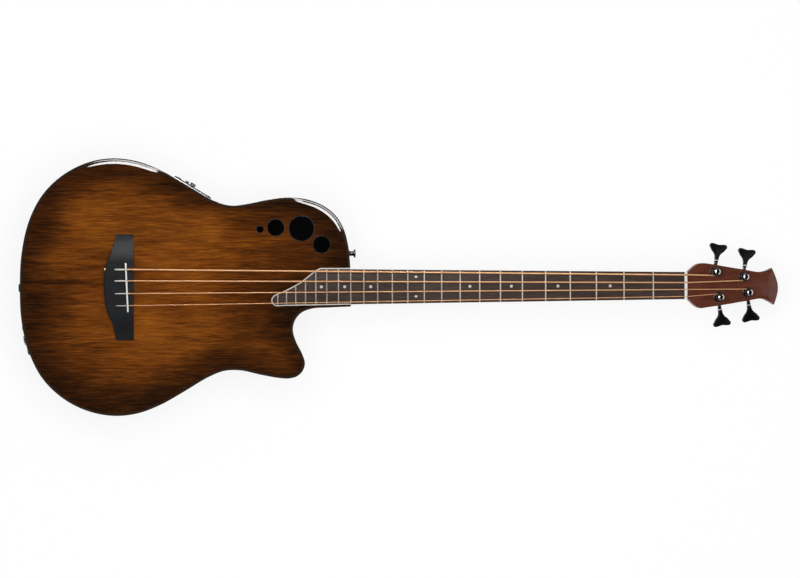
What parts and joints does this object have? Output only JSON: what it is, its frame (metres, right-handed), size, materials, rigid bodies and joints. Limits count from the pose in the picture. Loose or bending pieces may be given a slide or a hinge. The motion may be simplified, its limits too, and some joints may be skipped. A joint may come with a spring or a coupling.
{
  "type": "acoustic bass guitar",
  "caption": "Round-backed acoustic-electric bass guitar with a cutaway, wooden sunburst top, small offset sound holes, black bridge and geared tuners",
  "frame": {"origin": "the middle of the flat at the bottom of the round back, on the centre line, where the instrument lies on its back", "axes": "+X runs along the centre line to the head, +Y to the bass side, +Z out of the top"},
  "size_m": [1.1893, 0.4023, 0.1347],
  "materials": {
    "shell": "textured black composite, semi-gloss",
    "top_wood": "gloss sunburst, amber middle to near-black edge",
    "edge_trim": "gloss black",
    "inner_wood": "bare pale wood",
    "neck_wood": "satin red-brown",
    "board_wood": "bare dark brown",
    "bridge_wood": "satin black",
    "white_trim": "satin off-white",
    "fret_metal": "polished nickel silver",
    "steel": "plain steel",
    "string_metal": "bronze wound string",
    "tuner_metal": "gloss black plating",
    "black_plastic": "satin black",
    "display": "clear gloss over dark",
    "lead": "matte black"
  },
  "bodies": {
    "instrument": {"bowl": "shell", "soundboard": "top_wood", "top_edge": "edge_trim", "sound_hole_ring_1": "edge_trim", "sound_hole_ring_2": "edge_trim", "sound_hole_ring_3": "edge_trim", "sound_hole_ring_4": "edge_trim", "braces": "inner_wood", "bridge_plate": "inner_wood", "neck_block": "inner_wood", "neck_bolt_1": "steel", "neck_bolt_2": "steel", "neck": "neck_wood", "truss_rod": "steel", "fretboard": "board_wood", "fretboard_border": "white_trim", "frets": "fret_metal", "nut": "white_trim", "bridge": "bridge_wood", "saddle": "white_trim", "saddle_pickup": "steel", "string_E": "string_metal", "string_A": "string_metal", "string_D": "string_metal", "string_G": "string_metal", "tuner_bushing_E": "tuner_metal", "tuner_bushing_A": "tuner_metal", "tuner_bushing_D": "tuner_metal", "tuner_bushing_G": "tuner_metal", "tuner_housing_E": "tuner_metal", "tuner_housing_A": "tuner_metal", "tuner_housing_D": "tuner_metal", "tuner_housing_G": "tuner_metal", "strap_button_shoulder": "tuner_metal", "strap_button_end": "tuner_metal", "jack_plate": "black_plastic", "output_jack": "steel", "preamp_panel": "black_plastic", "preamp_chassis": "black_plastic", "battery": "black_plastic", "tuner_display": "display", "pickup_lead": "lead", "output_lead": "lead"},
    "key_E": {"tuner_key_E": "tuner_metal"},
    "key_A": {"tuner_key_A": "tuner_metal"},
    "key_D": {"tuner_key_D": "tuner_metal"},
    "key_G": {"tuner_key_G": "tuner_metal"},
    "post_E": {"tuner_post_E": "tuner_metal"},
    "post_A": {"tuner_post_A": "tuner_metal"},
    "post_D": {"tuner_post_D": "tuner_metal"},
    "post_G": {"tuner_post_G": "tuner_metal"},
    "volume": {"volume_knob": "black_plastic"},
    "tone_1": {"tone_slider_1": "black_plastic"},
    "tone_2": {"tone_slider_2": "black_plastic"},
    "tone_3": {"tone_slider_3": "black_plastic"},
    "tuner_switch": {"tuner_button": "black_plastic"}
  },
  "joints": [
    {"name": "key_E_turn", "type": "hinge", "parent": "instrument", "child": "key_E", "pos_m": [0.82387, 0.02056, 0.08813], "axis": [0.1518, 0.9877, -0.0378], "range_deg": [-720, 720]},
    {"name": "key_A_turn", "type": "hinge", "parent": "instrument", "child": "key_A", "pos_m": [0.86866, 0.01245, 0.07696], "axis": [0.1518, 0.9877, -0.0378], "range_deg": [-720, 720]},
    {"name": "key_D_turn", "type": "hinge", "parent": "instrument", "child": "key_D", "pos_m": [0.87468, -0.0103, 0.07546], "axis": [0.1434, -0.989, -0.0358], "range_deg": [-720, 720]},
    {"name": "key_G_turn", "type": "hinge", "parent": "instrument", "child": "key_G", "pos_m": [0.82917, -0.0174, 0.08681], "axis": [0.1434, -0.989, -0.0358], "range_deg": [-720, 720]},
    {"name": "post_E_turn", "type": "hinge", "parent": "instrument", "child": "post_E", "pos_m": [0.82404, 0.0214, 0.11086], "axis": [0.2419, 0, 0.9703], "range_deg": [-36, 36]},
    {"name": "post_A_turn", "type": "hinge", "parent": "instrument", "child": "post_A", "pos_m": [0.86884, 0.0133, 0.09969], "axis": [0.2419, 0, 0.9703], "range_deg": [-36, 36]},
    {"name": "post_D_turn", "type": "hinge", "parent": "instrument", "child": "post_D", "pos_m": [0.87484, -0.0111, 0.0982], "axis": [0.2419, 0, 0.9703], "range_deg": [-36, 36]},
    {"name": "post_G_turn", "type": "hinge", "parent": "instrument", "child": "post_G", "pos_m": [0.82934, -0.0182, 0.10954], "axis": [0.2419, 0, 0.9703], "range_deg": [-36, 36]},
    {"name": "volume_turn", "type": "hinge", "parent": "instrument", "child": "volume", "pos_m": [0.00764, 0.15824, 0.1063], "axis": [0.5255, 0.8508, 0], "range_deg": [-135, 135]},
    {"name": "tone_1_slide", "type": "slide", "parent": "instrument", "child": "tone_1", "axis": [0.8508, -0.5255, 0], "range_m": [-0.006, 0.006]},
    {"name": "tone_2_slide", "type": "slide", "parent": "instrument", "child": "tone_2", "axis": [0.8508, -0.5255, 0], "range_m": [-0.006, 0.006]},
    {"name": "tone_3_slide", "type": "slide", "parent": "instrument", "child": "tone_3", "axis": [0.8508, -0.5255, 0], "range_m": [-0.006, 0.006]},
    {"name": "tuner_switch_press", "type": "slide", "parent": "instrument", "child": "tuner_switch", "axis": [-0.5255, -0.8508, 0], "range_m": [0, 0.0008], "stiffness_N_per_m": 200}
  ],
  "couplings": [
    {"joint": "post_E_turn", "follows": "key_E_turn", "ratio": 0.05},
    {"joint": "post_A_turn", "follows": "key_A_turn", "ratio": 0.05},
    {"joint": "post_D_turn", "follows": "key_D_turn", "ratio": -0.05},
    {"joint": "post_G_turn", "follows": "key_G_turn", "ratio": -0.05}
  ]
}
